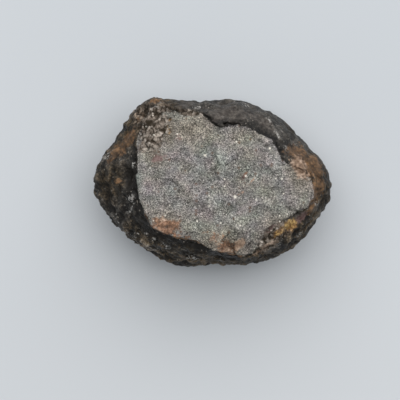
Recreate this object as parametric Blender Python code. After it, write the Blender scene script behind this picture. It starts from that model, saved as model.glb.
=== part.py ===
"""A chondrite meteorite: one stone in a thin dark crust, broken open on top so that its grey inside shows.

Run it with blender --background --python part.py, or from Blender's text editor.

The stone lies as it was set down, broken face up, on a small flat spot. +X runs along its length,
+Y across it and +Z up. The origin is on the surface that it rests on, under the middle of its box.
All sizes below are in millimetres. The mesh itself is in metres.
"""

import itertools
import math

import bmesh
import bpy
import numpy as np

MM = 0.001

# Driving sizes
LENGTH = 67.4
WIDTH = 48.0
FACE_LEVEL = 30.6
RIM_LEVEL = 14.6
STONE_MIDDLE = np.array([0.0, 0.0, RIM_LEVEL])
HALF_AXES = np.array([LENGTH / 2, WIDTH / 2, FACE_LEVEL - RIM_LEVEL])

# The stone seen from above, anticlockwise from its right tip
OUTLINE = [
    (33.8, -0.5), (32.7, 2.3), (30.9, 6.0), (28.3, 8.6), (25.4, 11.7), (20.0, 17.6), (16.2, 20.3),
    (13.2, 21.1), (10.3, 22.5), (7.3, 23.3), (3.0, 23.5), (-1.2, 23.0), (-4.3, 22.9), (-8.3, 23.2),
    (-12.1, 23.5), (-16.2, 24.0), (-18.5, 23.1), (-20.6, 22.1), (-22.5, 20.4), (-23.8, 18.2),
    (-26.0, 15.7), (-27.5, 12.6), (-29.6, 9.3), (-32.0, 6.5), (-33.3, 3.7), (-33.8, -2.5),
    (-33.1, -4.6), (-31.2, -7.4), (-27.2, -12.6), (-24.1, -15.5), (-20.6, -17.8), (-14.0, -22.1),
    (-11.4, -23.4), (-8.8, -23.8), (-5.7, -24.0), (-2.7, -23.4), (0.7, -23.0), (4.9, -23.4),
    (8.7, -23.4), (12.9, -22.9), (15.8, -21.8), (22.1, -19.0), (24.7, -16.9), (26.6, -14.3),
    (30.9, -8.4), (32.5, -5.6), (33.7, -2.7),
]  # fmt: skip

# The edge of the broken face, seen from above in the same way
BREAK_EDGE = [
    (28.7, -2.2), (27.8, 0.3), (26.4, 2.0), (24.7, 3.4), (22.2, 4.3), (20.8, 5.1), (19.3, 6.5),
    (18.8, 8.5), (18.2, 10.2), (16.8, 12.1), (14.8, 12.8), (12.8, 13.5), (11.1, 14.5), (9.2, 15.3),
    (7.2, 15.6), (4.3, 15.5), (1.8, 15.0), (-0.2, 16.2), (-1.9, 17.9), (-3.9, 19.7), (-6.4, 19.6),
    (-9.3, 19.3), (-11.8, 20.0), (-13.8, 21.3), (-16.3, 21.6), (-18.3, 20.6), (-19.5, 18.4),
    (-20.0, 15.6), (-21.2, 12.8), (-21.4, 10.5), (-20.9, 7.4), (-21.3, 4.0), (-21.4, 0.6),
    (-21.2, -2.2), (-20.5, -5.1), (-19.5, -7.6), (-18.3, -10.2), (-17.8, -12.2), (-16.1, -13.3),
    (-13.8, -14.4), (-11.0, -15.3), (-7.6, -16.0), (-5.0, -16.5), (-3.3, -17.5), (-1.3, -18.7),
    (1.2, -19.4), (3.8, -19.8), (6.0, -20.5), (8.0, -20.8), (10.0, -20.3), (12.3, -19.0),
    (14.0, -17.3), (15.7, -16.1), (17.1, -14.1), (18.5, -12.4), (19.6, -10.7), (21.6, -9.6),
    (24.4, -8.0), (26.7, -7.1), (28.1, -5.1),
]  # fmt: skip
EDGE_BLEND = 0.6
SMOOTHED_DEGREES = 2.5
FINE_DEGREES = 0.5

# The widest line round the stone: how far it wavers up and down, waves round it, and where they peak
RIM_WAVES = [(1.3, 1, 149), (0.9, 2, -20), (0.5, 3, 21)]

# Bearing in degrees, height of the crust's lip over the face, and how square the crust's shoulder is
SHOULDER = [
    (0, 0.3, 1.5), (25, 1.0, 1.5), (45, 0.9, 2.0), (65, 1.2, 2.3), (88, 1.5, 2.4), (98, 1.1, 2.2),
    (112, 0.4, 1.8), (128, 0.0, 1.5), (150, 0.1, 1.3), (180, 0.0, 1.15), (215, 0.0, 1.1),
    (250, 0.0, 1.2), (285, 0.0, 1.4), (320, 0.3, 1.5),
]  # fmt: skip
LIP_WIDTH = 0.7

# Where the broken face bends down towards the crust: bearing in degrees, distance out, slope in degrees
FACE_BENDS = [(126, 17.5, 27), (278, 14.5, 22), (352, 20.0, 16), (186, 15.0, 9), (40, 14.0, 5)]
BEND_SOFTNESS = 1.5

# Flat facets: bearing and elevation of the direction they face, in degrees, and how much they take off
FACETS = [
    (205, 38, 1.9), (262, 22, 1.2), (48, 30, 1.3), (330, 25, 1.1), (150, 28, 1.0),
    (20, -38, 2.6), (75, -42, 2.2), (128, -30, 2.0), (172, -46, 2.8), (228, -40, 2.4),
    (285, -44, 2.6), (330, -34, 2.0),
]  # fmt: skip
FACET_SOFTNESS = 0.45

# The underside, whose middle would sag below the surface and is flattened where it touches
BASE_SHARE = 0.62
BASE_SAG = 1.3
UNDERSIDE_SQUARENESS = 0.86
REST_SPOT = np.array([0.5, -0.5])
REST_REACH = 9.0

# Thumbprint hollows that melting left all over the crust
THUMBPRINT_SPACING = 9.0
THUMBPRINT_DEPTH = 1.25
THUMBPRINT_FLANK = 0.6
THUMBPRINT_ROUNDNESS = 1.5

# Single hollows seen from above: x, y, radius and depth
HOLLOWS = [
    (-24.6, 2.0, 4.2, 1.3), (-29.0, -2.6, 4.8, 0.7), (-25.6, 7.6, 3.6, 0.8), (-8.5, 21.6, 3.0, 0.6),
    (3.5, 19.0, 4.5, 0.5), (22.4, 9.6, 3.4, 0.8), (27.0, 5.0, 3.0, 0.4), (-11.0, -19.6, 4.0, 0.8),
    (-20.5, -14.2, 3.6, 0.6), (21.6, -14.6, 3.6, 0.9), (11.4, 18.2, 3.0, 0.5), (-0.2, -21.2, 2.6, 0.5),
]  # fmt: skip
HOLLOWS_REACH_BELOW_RIM = 2.0

# Lumps as (size across, height), from coarse to fine
CRUST_LUMPS = [(17.0, 1.0), (7.5, 0.75), (3.8, 0.34)]
BROKEN_LUMPS = [(9.0, 0.6), (4.4, 0.42)]
WEATHERED_CORNER = np.array([-17.5, 15.5])
WEATHERED_REACH = 9.0
WEATHERED_ROUGHNESS = 0.9

# How finely the surface is divided
CELLS_PER_SIDE = 27
OUTLINE_SECTORS = 90

# Each kind of noise has its own number, so that their patterns differ
THUMBPRINT_SALT = 5
CRUST_SALT = 11
BROKEN_SALT = 31

CRUST_COLOUR = (0.036, 0.031, 0.027)
CRUST_ROUGHNESS = 0.6
BROKEN_COLOUR = (0.225, 0.215, 0.2)
BROKEN_ROUGHNESS = 0.85


def hashed(cells, salt):
    """A repeatable number from 0 to 1 for each whole-numbered cell of space."""
    x, y, z = np.moveaxis(cells.astype(np.int64).astype(np.uint32), -1, 0)
    mixed = x * np.uint32(73856093) ^ y * np.uint32(19349663) ^ z * np.uint32(83492791)
    mixed = (mixed ^ np.uint32(salt)) * np.uint32(2654435761)
    mixed = (mixed ^ (mixed >> np.uint32(15))) * np.uint32(2246822519)
    mixed = mixed ^ (mixed >> np.uint32(13))
    return mixed.astype(np.float64) / 2.0**32


def random_vector(cells, salt):
    """Three repeatable numbers from 0 to 1 for each cell."""
    return np.stack([hashed(cells, 3 * salt + k + 1) for k in range(3)], axis=-1)


def noise(points, size, salt):
    """Smooth noise whose lumps are about size across, mostly between -0.6 and 0.6."""
    scaled = points / size
    cell = np.floor(scaled)
    inside = scaled - cell
    fade = inside**3 * (inside * (inside * 6 - 15) + 10)
    total = np.zeros(len(points))
    for corner in itertools.product((0, 1), repeat=3):
        slope = random_vector(cell + corner, salt) * 2 - 1
        weight = np.prod(np.where(corner, fade, 1 - fade), axis=-1)
        total += weight * ((inside - corner) * slope).sum(axis=-1)
    return total


def lumps(points, sizes, salt):
    """The sum of noises of several (size across, height) pairs."""
    total = np.zeros(len(points))
    for step, (size, height) in enumerate(sizes):
        total += height / 0.6 * noise(points, size, salt + step)
    return total


def bowls(points, spacing, salt):
    """Shallow bowls packed side by side: -1 at the middle of each, 0 on the ridges between them."""
    scaled = points / spacing
    cell = np.floor(scaled)
    nearest = np.full(len(points), np.inf)
    second = np.full(len(points), np.inf)
    for step in itertools.product((-1, 0, 1), repeat=3):
        seed = cell + step + random_vector(cell + step, salt)
        distance = np.linalg.norm(scaled - seed, axis=-1)
        second = np.minimum(second, np.maximum(nearest, distance))
        nearest = np.minimum(nearest, distance)
    from_ridge = np.clip((second - nearest) / THUMBPRINT_FLANK, 0, 1)
    return -(from_ridge**THUMBPRINT_ROUNDNESS)


def smooth_step(value, low, high):
    """0 below low, 1 above high and an S-curve in between."""
    share = np.clip((value - low) / (high - low), 0, 1)
    return share * share * (3 - 2 * share)


def soft_excess(value, softness):
    """How far value is above 0, with the corner at 0 rounded over."""
    return softness * np.logaddexp(0, value / softness)


def direction(bearing, elevation=0.0):
    """The unit vector that points along a bearing and an elevation, in degrees."""
    turn, rise = math.radians(bearing), math.radians(elevation)
    level = math.cos(rise)
    return np.array([level * math.cos(turn), level * math.sin(turn), math.sin(rise)])


def bearing_of(points):
    """The bearing of each point round the origin, in radians."""
    return np.arctan2(points[:, 1], points[:, 0])


def radius_at(bearings, loop):
    """The distance from the middle to a closed loop of points, at each bearing in radians."""
    x, y = np.array(loop).T
    fine = np.radians(np.arange(0, 360, FINE_DEGREES))
    radii = np.interp(fine, np.arctan2(y, x), np.hypot(x, y), period=2 * math.pi)
    reach = int(SMOOTHED_DEGREES / FINE_DEGREES)
    window = np.hanning(2 * reach + 1)[1:-1]
    around = np.concatenate([radii[-reach + 1 :], radii, radii[: reach - 1]])
    radii = np.convolve(around, window / window.sum(), mode="valid")
    return np.interp(bearings, fine, radii, period=2 * math.pi)


def shoulder_at(bearings):
    """The height of the crust's lip and the squareness of its shoulder, at each bearing in radians."""
    degrees, lips, squareness = np.array(SHOULDER, float).T
    turns = np.degrees(bearings)
    return (
        np.interp(turns, degrees, lips, period=360),
        np.interp(turns, degrees, squareness, period=360),
    )


def rim_height(bearings):
    """The height of the stone's widest line, which wavers as it goes round."""
    height = np.full_like(bearings, RIM_LEVEL)
    for swing, waves, peak in RIM_WAVES:
        height += swing * np.cos(waves * (bearings - math.radians(peak)))
    return height


def face_height(x, y):
    """The broken face before its roughness: level in the middle and bent down towards its ends."""
    height = np.full_like(x, FACE_LEVEL)
    for bearing, start, slope in FACE_BENDS:
        out = direction(bearing)
        beyond = soft_excess(x * out[0] + y * out[1] - start, BEND_SOFTNESS)
        height -= math.tan(math.radians(slope)) * beyond
    return height


def square_to_disc(u, v):
    """Bearing and distance out for points of a square, whose square rings become circles."""
    out = np.maximum(np.abs(u), np.abs(v))
    sideways = np.abs(u) >= np.abs(v)
    safe = np.where(out > 0, out, 1)
    first = np.where(u >= 0, 0, math.pi) + math.pi / 4 * np.where(u >= 0, v, -v) / safe
    other = np.where(v >= 0, 0.5, 1.5) * math.pi - math.pi / 4 * np.where(v >= 0, u, -u) / safe
    return np.where(sideways, first, other), out


def bare_form(cube):
    """Wraps the points of a cube, 2 on each side, round the stone.

    The cube's top becomes the broken face. Its walls become the crust: their upper half runs from the
    face's edge over the shoulder to the rim, and their lower half from the rim to the underside. Its
    bottom becomes the middle of the underside.
    """
    bearings, out = square_to_disc(cube[:, 0], cube[:, 1])
    height_up_wall = cube[:, 2]
    reach = radius_at(bearings, OUTLINE)
    edge = radius_at(bearings, BREAK_EDGE) / reach
    lip, squareness = shoulder_at(bearings)
    rim = rim_height(bearings)

    above = height_up_wall >= 0
    over = np.sin(math.pi / 2 * np.clip(1 - height_up_wall, 0, 1))
    under = np.clip(-height_up_wall, 0, 1) * math.acos(BASE_SHARE)
    share = out * np.where(above, edge + (1 - edge) * over, np.cos(under))
    x = share * reach * np.cos(bearings)
    y = share * reach * np.sin(bearings)

    past_edge = over * (1 - edge) * reach
    face_edge = face_height(edge * reach * np.cos(bearings), edge * reach * np.sin(bearings))
    lip_top = face_edge + lip * smooth_step(past_edge, 0, LIP_WIDTH)
    crust = rim + (lip_top - rim) * np.sqrt(1 - over**squareness)
    upper = np.where(height_up_wall < 1, crust, face_height(x, y))
    depth = np.clip(1 - share**2, 0, 1) ** (UNDERSIDE_SQUARENESS / 2)
    lower = rim - (rim + BASE_SAG) * depth
    return np.stack([x, y, np.where(above, upper, lower)], axis=-1)


def outward(points):
    """The direction away from the stone's middle, as on a smooth pebble of its proportions."""
    away = (points - STONE_MIDDLE) / HALF_AXES**2
    return away / np.linalg.norm(away, axis=-1, keepdims=True)


def inside_break(points):
    """How far a point is inside the broken face's edge, seen from above. It is negative outside."""
    inside = radius_at(bearing_of(points), BREAK_EDGE) - np.hypot(points[:, 0], points[:, 1])
    return np.where(points[:, 2] > RIM_LEVEL, inside, -LENGTH)


def shaved(points):
    """The form with its flat facets, each a soft cut across the stone's furthest reach that way."""
    for bearing, elevation, depth in FACETS:
        facing = direction(bearing, elevation)
        reach = points @ facing
        beyond = soft_excess(reach - reach.max() + depth, FACET_SOFTNESS)
        points = points - beyond[:, None] * facing
    return points


def hollowed(points):
    """The depth of the single hollows at each point of the upper side, as round-bottomed dishes."""
    depth = np.zeros(len(points))
    for x, y, radius, deep in HOLLOWS:
        share = np.hypot(points[:, 0] - x, points[:, 1] - y) / radius
        depth += deep * np.clip(1 - share**2, 0, 1) ** 2
    return np.where(points[:, 2] > RIM_LEVEL - HOLLOWS_REACH_BELOW_RIM, depth, 0)


def crust_relief(points):
    """Lumps, thumbprint hollows and single hollows of the crust, as a height along outward."""
    thumbprints = THUMBPRINT_DEPTH * bowls(points, THUMBPRINT_SPACING, THUMBPRINT_SALT)
    relief = thumbprints + lumps(points, CRUST_LUMPS, CRUST_SALT) - hollowed(points)
    from_rest = np.hypot(*(points[:, :2] - REST_SPOT).T) + np.maximum(points[:, 2], 0)
    return relief * smooth_step(from_rest, REST_REACH / 2, REST_REACH)


def broken_relief(points):
    """The uneven surface of the broken face, rougher in its weathered corner."""
    corner = np.hypot(*(points[:, :2] - WEATHERED_CORNER).T)
    weathered = 1 - smooth_step(corner, 0, WEATHERED_REACH)
    return lumps(points, BROKEN_LUMPS, BROKEN_SALT) * (1 + WEATHERED_ROUGHNESS * weathered)


def held_to_outline(points):
    """Brings the widest point at each bearing back to the outline, after facets and relief."""
    bearings = bearing_of(points)
    share = np.hypot(points[:, 0], points[:, 1]) / radius_at(bearings, OUTLINE)
    turns = bearings / (2 * math.pi) * OUTLINE_SECTORS
    widest = np.zeros(OUTLINE_SECTORS)
    np.maximum.at(widest, np.round(turns).astype(int) % OUTLINE_SECTORS, share)
    stretch = np.interp(turns, np.arange(OUTLINE_SECTORS), 1 / widest, period=OUTLINE_SECTORS)
    spread = 1 + (stretch - 1) * np.clip(share, 0, 1) ** 3
    return points * np.stack([spread, spread, np.ones_like(spread)], axis=-1)


def stone_points(cube):
    """The finished surface, in millimetres, standing on its flat spot and centred over the origin."""
    points = shaved(bare_form(cube))
    broken = smooth_step(inside_break(points), -EDGE_BLEND, EDGE_BLEND)
    relief = broken * broken_relief(points) + (1 - broken) * crust_relief(points)
    points = held_to_outline(points + relief[:, None] * outward(points))
    points[:, 2] = np.maximum(points[:, 2], 0)
    middle = (points.min(axis=0) + points.max(axis=0)) / 2
    return points - [middle[0], middle[1], 0]


def plain_material(name, colour, roughness):
    """A Principled material of one colour."""
    material = bpy.data.materials.new(name)
    material.use_nodes = True
    shader = material.node_tree.nodes["Principled BSDF"]
    shader.inputs["Base Color"].default_value = (*colour, 1)
    shader.inputs["Roughness"].default_value = roughness
    shader.inputs["Metallic"].default_value = 0
    return material


def divided_cube():
    """A mesh of a cube, 2 on each side, with square cells all over it."""
    shape = bmesh.new()
    bmesh.ops.create_cube(shape, size=2)
    bmesh.ops.subdivide_edges(
        shape, edges=shape.edges[:], cuts=CELLS_PER_SIDE - 1, use_grid_fill=True
    )
    mesh = bpy.data.meshes.new("meteorite_stone")
    shape.to_mesh(mesh)
    shape.free()
    return mesh


def make_stone():
    """One closed stone: the divided cube wrapped round the form, with its broken face in grey."""
    mesh = divided_cube()
    cube = np.empty(len(mesh.vertices) * 3, np.float32)
    mesh.vertices.foreach_get("co", cube)
    cube = cube.reshape(-1, 3).astype(np.float64)
    on_top = [polygon.normal.z > 0.5 for polygon in mesh.polygons]

    mesh.vertices.foreach_set("co", (stone_points(cube) * MM).astype(np.float32).ravel())
    mesh.materials.append(plain_material("crust", CRUST_COLOUR, CRUST_ROUGHNESS))
    mesh.materials.append(plain_material("broken_face", BROKEN_COLOUR, BROKEN_ROUGHNESS))
    mesh.polygons.foreach_set("material_index", [int(top) for top in on_top])
    mesh.update()
    mesh.shade_smooth()

    stone = bpy.data.objects.new("meteorite_stone", mesh)
    bpy.context.scene.collection.objects.link(stone)
    return stone


def main():
    for old in list(bpy.data.objects):
        bpy.data.objects.remove(old)
    make_stone()


main()
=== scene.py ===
# %% [markdown]
# # A chondrite meteorite on a pale table
#
# A chondrite is a stone from space. Its inside is a grey mass of tiny mineral grains, round beads
# called chondrules and flecks of metal. On its way through the air its outside melted and set again
# as a thin, nearly black crust with shallow dents like thumbprints. This stone was broken open on
# top, so both can be seen, and the iron in it has since rusted here and there.
#
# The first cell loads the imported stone, which is the frame that everything here is built around.

import itertools
import math

import bpy
import numpy as np
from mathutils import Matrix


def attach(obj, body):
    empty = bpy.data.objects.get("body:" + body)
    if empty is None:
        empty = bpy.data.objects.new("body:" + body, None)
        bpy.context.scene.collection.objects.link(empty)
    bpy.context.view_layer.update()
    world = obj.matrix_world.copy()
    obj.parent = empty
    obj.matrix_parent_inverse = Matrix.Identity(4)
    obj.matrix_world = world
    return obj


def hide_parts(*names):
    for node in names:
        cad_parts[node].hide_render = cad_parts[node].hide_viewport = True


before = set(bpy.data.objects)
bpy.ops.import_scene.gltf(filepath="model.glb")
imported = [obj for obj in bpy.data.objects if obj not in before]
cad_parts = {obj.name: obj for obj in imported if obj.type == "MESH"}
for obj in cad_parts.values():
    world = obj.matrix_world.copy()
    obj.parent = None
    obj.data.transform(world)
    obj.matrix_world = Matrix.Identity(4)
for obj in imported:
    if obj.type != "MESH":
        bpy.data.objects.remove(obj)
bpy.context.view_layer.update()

# %% [markdown]
# ## The camera
#
# The photograph was taken from straight above. A long lens far away keeps the perspective weak, so
# that the raised face isn't drawn larger than the rim below it. The lens is worked out from the
# width that the picture has to show at the height of the rim: frame / distance = sensor / lens.

# %% The camera looks straight down
MM = 0.001
RIM_LEVEL = 14.6
FRAME_WIDTH = 113.3
CAMERA_ABOVE_RIM = 1200.0
SENSOR = 36.0
STONE_IN_FRAME = (3.6, 5.07)

scene = bpy.context.scene


def placed(name, data):
    """A new object of that name in the scene, at the origin."""
    made = bpy.data.objects.new(name, data)
    scene.collection.objects.link(made)
    return made


lens = SENSOR * CAMERA_ABOVE_RIM / FRAME_WIDTH
camera_data = bpy.data.cameras.new("camera")
camera_data.sensor_width = SENSOR
camera_data.lens = lens
camera_data.clip_end = 10
camera = placed("camera", camera_data)
camera_place = (-STONE_IN_FRAME[0], -STONE_IN_FRAME[1], RIM_LEVEL + CAMERA_ABOVE_RIM)
camera.location = [millimetres * MM for millimetres in camera_place]
scene.camera = camera
print("lens in mm:", round(lens))

# %% [markdown]
# ## A small language for materials
#
# A material in Blender is a net of nodes. Written out one node at a time, a formula such as
# `1 - mask * 0.5` takes a dozen lines. The class below wraps the output socket of a node, and when
# Python adds, subtracts or multiplies two of them, it adds the Math node that does the same.
# Everything else, such as a noise or a mix of two colours, comes from one method, `node`.


# %% Numbers that vary over a surface
class Shade:
    """A number or colour that varies over a surface: an output socket in a material's nodes."""

    def __init__(self, tree, socket):
        self.tree = tree
        self.socket = socket

    def node(self, kind, settings=(), sockets=(), output=0):
        """Adds a node: its settings and a ramp's stops first, then its sockets' values or links."""
        made = self.tree.nodes.new(kind)
        for name, value in dict(settings).items():
            if name == "stops":
                for position, _ in value[2:]:
                    made.color_ramp.elements.new(position)
                for element, (position, colour) in zip(made.color_ramp.elements, value):
                    element.position, element.color = position, colour
            else:
                setattr(made, name, value)
        for name, value in dict(sockets).items():
            if isinstance(value, Shade):
                self.tree.links.new(value.socket, made.inputs[name])
            else:
                made.inputs[name].default_value = value
        return Shade(self.tree, made.outputs[output])

    def math(self, operation, first, second=0.0):
        """Adds a Math node that works on two numbers or sockets."""
        return self.node("ShaderNodeMath", {"operation": operation}, {0: first, 1: second})

    def __add__(self, other):
        return self.math("ADD", self, other)

    def __sub__(self, other):
        return self.math("SUBTRACT", self, other)

    def __rsub__(self, other):
        return self.math("SUBTRACT", other, self)

    def __mul__(self, other):
        return self.math("MULTIPLY", self, other)

    __radd__ = __add__
    __rmul__ = __mul__

    def or_more(self, other):
        """The larger of two numbers."""
        return self.math("MAXIMUM", self, other)

    def rise(self, low, high):
        """0 where the number is below low, 1 above high, and an S-curve in between."""
        ends = {"Value": self, "From Min": low, "From Max": high}
        return self.node("ShaderNodeMapRange", {"interpolation_type": "SMOOTHSTEP"}, ends)

    def mix(self, low, high):
        """The colour low where this number is 0, high where it is 1, and a mix in between."""
        ends = {"Factor": self, "A": low, "B": high}
        return self.node("ShaderNodeMix", {"data_type": "RGBA"}, ends, output="Result")

    def ramp(self, stops):
        """A colour for each number: stops are (position, red, green, blue) from low to high."""
        stops = [(position, srgb(*colour)) for position, *colour in stops]
        return self.node("ShaderNodeValToRGB", {"stops": stops}, {"Fac": self})

    def vector(self, operation, other, output=0):
        """Adds a Vector Math node that works on two colours or places."""
        return self.node("ShaderNodeVectorMath", {"operation": operation}, {0: self, 1: other}, output)

    def into(self, surface, name):
        """Lets this number or colour feed a socket of the surface."""
        self.tree.links.new(self.socket, surface.inputs[name])


def srgb(red, green, blue):
    """A linear colour from a picture's 0 to 255 values: a line near black, a power of 2.4 above."""
    parts = [value / 255 for value in (red, green, blue)]
    bent = [p / 12.92 if p <= 0.04045 else ((p + 0.055) / 1.055) ** 2.4 for p in parts]
    return (*bent, 1.0)


print("mid grey in linear light:", round(srgb(128, 128, 128)[0], 3))

# %% [markdown]
# ## The table
#
# The stone lies on smooth pale paper with a touch of blue. One large square is enough for it. Its
# colour isn't quite even, as on any real sheet, so a very large and weak noise varies it.

# %% A new material, and the paper
PAPER_HALF = 3.0
PAPER = srgb(206, 209, 212)
PAPER_SHADE = srgb(199, 203, 207)
PAPER_PATCH = 400
PAPER_ROUGHNESS = 0.95
PAPER_SHINE = 0.1


def new_material(name):
    """An empty material, its Principled surface, and its Object coordinates to build on."""
    material = bpy.data.materials.new(name)
    material.use_nodes = True
    tree = material.node_tree
    coordinates = tree.nodes.new("ShaderNodeTexCoord")
    return material, tree.nodes["Principled BSDF"], Shade(tree, coordinates.outputs["Object"])


def noise(place, size, detail=2.0, roughness=0.5, output="Fac"):
    """Soft random lumps from 0 to 1, or three of them as a colour, whose size is in millimetres."""
    values = {"Vector": place, "Scale": 1 / (size * MM), "Detail": detail, "Roughness": roughness}
    return place.node("ShaderNodeTexNoise", (), values, output)


paper, paper_surface, paper_place = new_material("paper")
paper_patch = noise(paper_place, PAPER_PATCH).rise(0.35, 0.65)
paper_patch.mix(PAPER_SHADE, PAPER).into(paper_surface, "Base Color")
paper_surface.inputs["Roughness"].default_value = PAPER_ROUGHNESS
paper_surface.inputs["Specular IOR Level"].default_value = PAPER_SHINE

paper_mesh = bpy.data.meshes.new("paper")
corners = [(-PAPER_HALF, -PAPER_HALF, 0), (PAPER_HALF, -PAPER_HALF, 0)]
corners += [(PAPER_HALF, PAPER_HALF, 0), (-PAPER_HALF, PAPER_HALF, 0)]
paper_mesh.from_pydata(corners, [], [(0, 1, 2, 3)])
paper_mesh.materials.append(paper)
floor = placed("paper", paper_mesh)
print("the paper is", 2 * PAPER_HALF, "m wide")

# %% [markdown]
# ## The light
#
# In the photograph the upper edge of the stone is lit and a wide, very soft shadow lies below it. So
# the light is large, hangs high, and leans towards the top of the picture, like a studio softbox on
# a boom. A pale even world fills in the rest, as white walls would. The Standard view shows colours
# as they are, without a film's contrast.

# %% One soft light and a pale room
LIGHT_SIZE = 2.2
LIGHT_PLACE = (0.14, 0.656, 0.995)
LIGHT_POWER = 26.5
ROOM = (0.93, 0.97, 1.0, 1.0)
ROOM_STRENGTH = 0.35

light_data = bpy.data.lights.new("softbox", "AREA")
light_data.shape = "SQUARE"
light_data.size = LIGHT_SIZE
light_data.energy = LIGHT_POWER
light = placed("softbox", light_data)
light.location = LIGHT_PLACE
away = -light.location
light.rotation_euler = away.to_track_quat("-Z", "Y").to_euler()

world = bpy.data.worlds.new("room")
world.use_nodes = True
background = world.node_tree.nodes["Background"]
background.inputs["Color"].default_value = ROOM
background.inputs["Strength"].default_value = ROOM_STRENGTH
scene.world = world
scene.view_settings.view_transform = "Standard"
print("the light hangs", round(away.length, 2), "m away")

# %% [markdown]
# ## The stone seen from above
#
# Two closed lines, measured in the photograph at its own scale, hold most of the stone's character:
# its outline, and the edge where the crust ends and the broken face begins. Both are lists of a few
# dozen points in millimetres, anticlockwise from the right. Turning them into a radius for each
# bearing makes them easy to use on whole arrays: any point at bearing b is inside if its distance
# from the middle is less than radius_at(b). A short smoothing rounds the corners of the lists.

# %% The outline and the edge of the break
OUTLINE = [
    (33.8, -0.5), (32.7, 2.3), (30.9, 6), (28.3, 8.6), (25.4, 11.7), (20, 17.4), (16.6, 19.6),
    (13.2, 21.1), (10.3, 22.5), (7.3, 23.3), (3, 23.5), (-1.2, 23), (-4.3, 22.9), (-8.3, 23.2),
    (-12.1, 23.5), (-16.2, 24), (-18.5, 23.1), (-20.6, 22.1), (-22.5, 20.4), (-23.8, 18.2),
    (-26, 15.7), (-27.5, 12.6), (-29.6, 9.3), (-32, 6.5), (-33.3, 3.7), (-33.8, -2.5),
    (-33.1, -4.6), (-31.2, -7.4), (-27.2, -12.6), (-24.1, -15.5), (-20.6, -17.8), (-14, -22.1),
    (-11.4, -23.4), (-8.8, -23.8), (-5.7, -24), (-2.7, -23.4), (0.7, -23), (4.9, -23.4),
    (8.7, -23.4), (12.9, -22.9), (15.8, -21.8), (22.1, -19), (24.7, -16.9), (26.6, -14.3),
    (30.9, -8.4), (32.5, -5.6), (33.7, -2.7),
]
BREAK_EDGE = [
    (28.7, -2.2), (27.8, 0.3), (26.4, 2), (24.7, 3.4), (22.2, 4.3), (20.8, 5.1), (19.1, 6.4),
    (18.2, 8.3), (17.3, 10.2), (16.3, 12), (14.6, 12.8), (12.8, 13.5), (11.1, 14.5), (9.2, 15.3),
    (7.2, 15.6), (4.3, 15.5), (1.8, 15), (-0.2, 16.2), (-1.9, 17.9), (-3.9, 19.7), (-6.4, 19.6),
    (-9.3, 19.3), (-11.8, 20), (-13.8, 21.3), (-16.3, 21.6), (-18.3, 20.6), (-19.5, 18.4),
    (-20, 15.6), (-21.2, 12.8), (-21.4, 10.5), (-20.9, 7.4), (-21.3, 4), (-21.4, 0.6),
    (-21.2, -2.2), (-20.5, -5.1), (-19.5, -7.6), (-18.3, -10.2), (-17.8, -12.2), (-16.1, -13.3),
    (-13.8, -14.4), (-11, -15.3), (-7.6, -16), (-5, -16.5), (-3.3, -17.5), (-1.3, -18.7),
    (1.2, -19.4), (3.8, -19.8), (6, -20.5), (8, -20.8), (10, -20.3), (12.3, -19),
    (14, -17.3), (15.7, -16.1), (17.1, -14.1), (18.5, -12.4), (19.6, -10.7), (21.6, -9.6),
    (24.4, -8), (26.7, -7.1), (28.1, -5.1),
]
SMOOTHED_DEGREES = 2.5
FINE_DEGREES = 0.5


def radius_at(bearings, loop):
    """Distance from the middle to a closed loop at each bearing, averaged over a few degrees."""
    x, y = np.array(loop).T
    fine = np.radians(np.arange(0, 360, FINE_DEGREES))
    radii = np.interp(fine, np.arctan2(y, x), np.hypot(x, y), period=2 * math.pi)
    reach = int(SMOOTHED_DEGREES / FINE_DEGREES)
    window = np.hanning(2 * reach + 1)[1:-1]
    around = np.concatenate([radii[-reach + 1 :], radii, radii[: reach - 1]])
    radii = np.convolve(around, window / window.sum(), mode="valid")
    return np.interp(bearings, fine, radii, period=2 * math.pi)


def bearing_of(points):
    """The bearing of each point round the origin, in radians: the arctangent of y over x."""
    return np.arctan2(points[:, 1], points[:, 0])


east_west = radius_at(np.array([0.0, math.pi]), OUTLINE)
print("the outline reaches", east_west.round(1), "mm to the east and the west")

# %% [markdown]
# ## A lattice to wrap round it
#
# The stone is one closed surface, with no seam and no pole. A sphere made of rings would crowd its
# points at the poles, one of them in the middle of the broken face. A cube whose six sides are
# divided into square cells has no such place: its top is wrapped over the broken face, its walls
# over the crust, and its bottom over the underside. Points on the cube's edges belong to two sides,
# so each point gets a whole number as its name, and np.unique keeps one point for each name.

# %% The lattice
CELLS = 128


def cube_lattice(cells):
    """The points of a divided cube, from -1 to 1, and its square faces with their front outwards."""
    u, v = np.meshgrid(np.arange(cells), np.arange(cells), indexing="ij")
    ring = [(0, 0), (1, 0), (1, 1), (0, 1)]
    quads = []
    for axis, side in itertools.product(range(3), (0, cells)):
        corner = np.zeros((cells, cells, 4, 3), int)
        corner[..., axis] = side
        for k, (du, dv) in enumerate(ring if side else ring[::-1]):
            corner[..., k, (axis + 1) % 3] = u + du
            corner[..., k, (axis + 2) % 3] = v + dv
        quads.append(corner.reshape(-1, 4, 3))
    corners = np.concatenate(quads)
    place_value = np.array([(cells + 1) ** 2, cells + 1, 1])
    names, faces = np.unique((corners @ place_value).ravel(), return_inverse=True)
    steps = names[:, None] // place_value % (cells + 1)
    return steps / cells * 2 - 1, faces.reshape(-1, 4)


cube, faces = cube_lattice(CELLS)
print(len(cube), "points and", 2 * len(faces), "triangles")

# %% [markdown]
# ## Repeatable roughness
#
# Stone is rough at every size, from thumbprints to grains. Two kinds of pattern give all of it. One
# is gradient noise: each corner of a cell gets a random slope, and the slopes are blended, which
# gives smooth lumps. The other is packed cells: random seeds, one in each cell, and for each point
# its distance to the nearest and the second nearest. Both need random numbers that are the same on
# every run and at every division, so these come from a hash of the cell's own whole numbers.


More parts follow.
